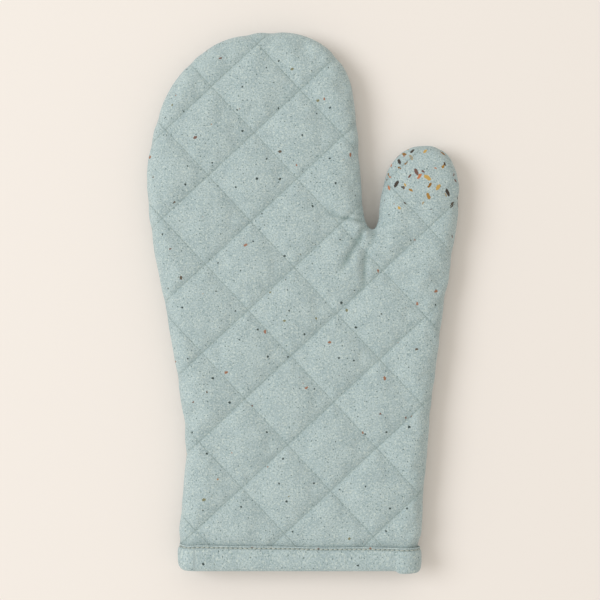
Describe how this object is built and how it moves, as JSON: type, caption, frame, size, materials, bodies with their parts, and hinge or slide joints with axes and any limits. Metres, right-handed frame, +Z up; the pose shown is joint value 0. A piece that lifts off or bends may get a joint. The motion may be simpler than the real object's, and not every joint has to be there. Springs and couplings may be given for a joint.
{
  "type": "oven mitt",
  "caption": "Quilted cotton oven mitt with a thumb and a bound cuff, lying flat. Padded front and back panels form a pocket for one hand.",
  "frame": {"origin": "centre of the footprint, on the surface that the mitt lies on", "axes": "+X across the palm towards the thumb, +Y from the cuff to the fingertips, +Z up from the back panel to the front panel"},
  "size_m": [0.1899, 0.3294, 0.023],
  "materials": {
    "printed_cotton": "matte grey-green cotton with a fine terrazzo fleck print",
    "batting": "soft off-white needled batting",
    "lining": "matte undyed cotton",
    "teal_thread": "matte dark grey-green sewing thread",
    "pale_thread": "pale sewing thread with a slight sheen"
  },
  "bodies": {
    "root": {"front_shell": "printed_cotton", "back_shell": "printed_cotton", "cuff_binding": "printed_cotton", "front_batting": "batting", "back_batting": "batting", "front_lining": "lining", "back_lining": "lining", "front_quilting_rising": "teal_thread", "front_quilting_falling": "teal_thread", "front_bobbin_rising": "pale_thread", "front_bobbin_falling": "pale_thread", "back_quilting_rising": "teal_thread", "back_quilting_falling": "teal_thread", "back_bobbin_rising": "pale_thread", "back_bobbin_falling": "pale_thread", "side_seam_needle_thread": "pale_thread", "side_seam_bobbin_thread": "pale_thread", "overlock_thread": "pale_thread", "binding_topstitch_outer": "pale_thread", "binding_topstitch_inner": "pale_thread"}
  },
  "joints": []
}
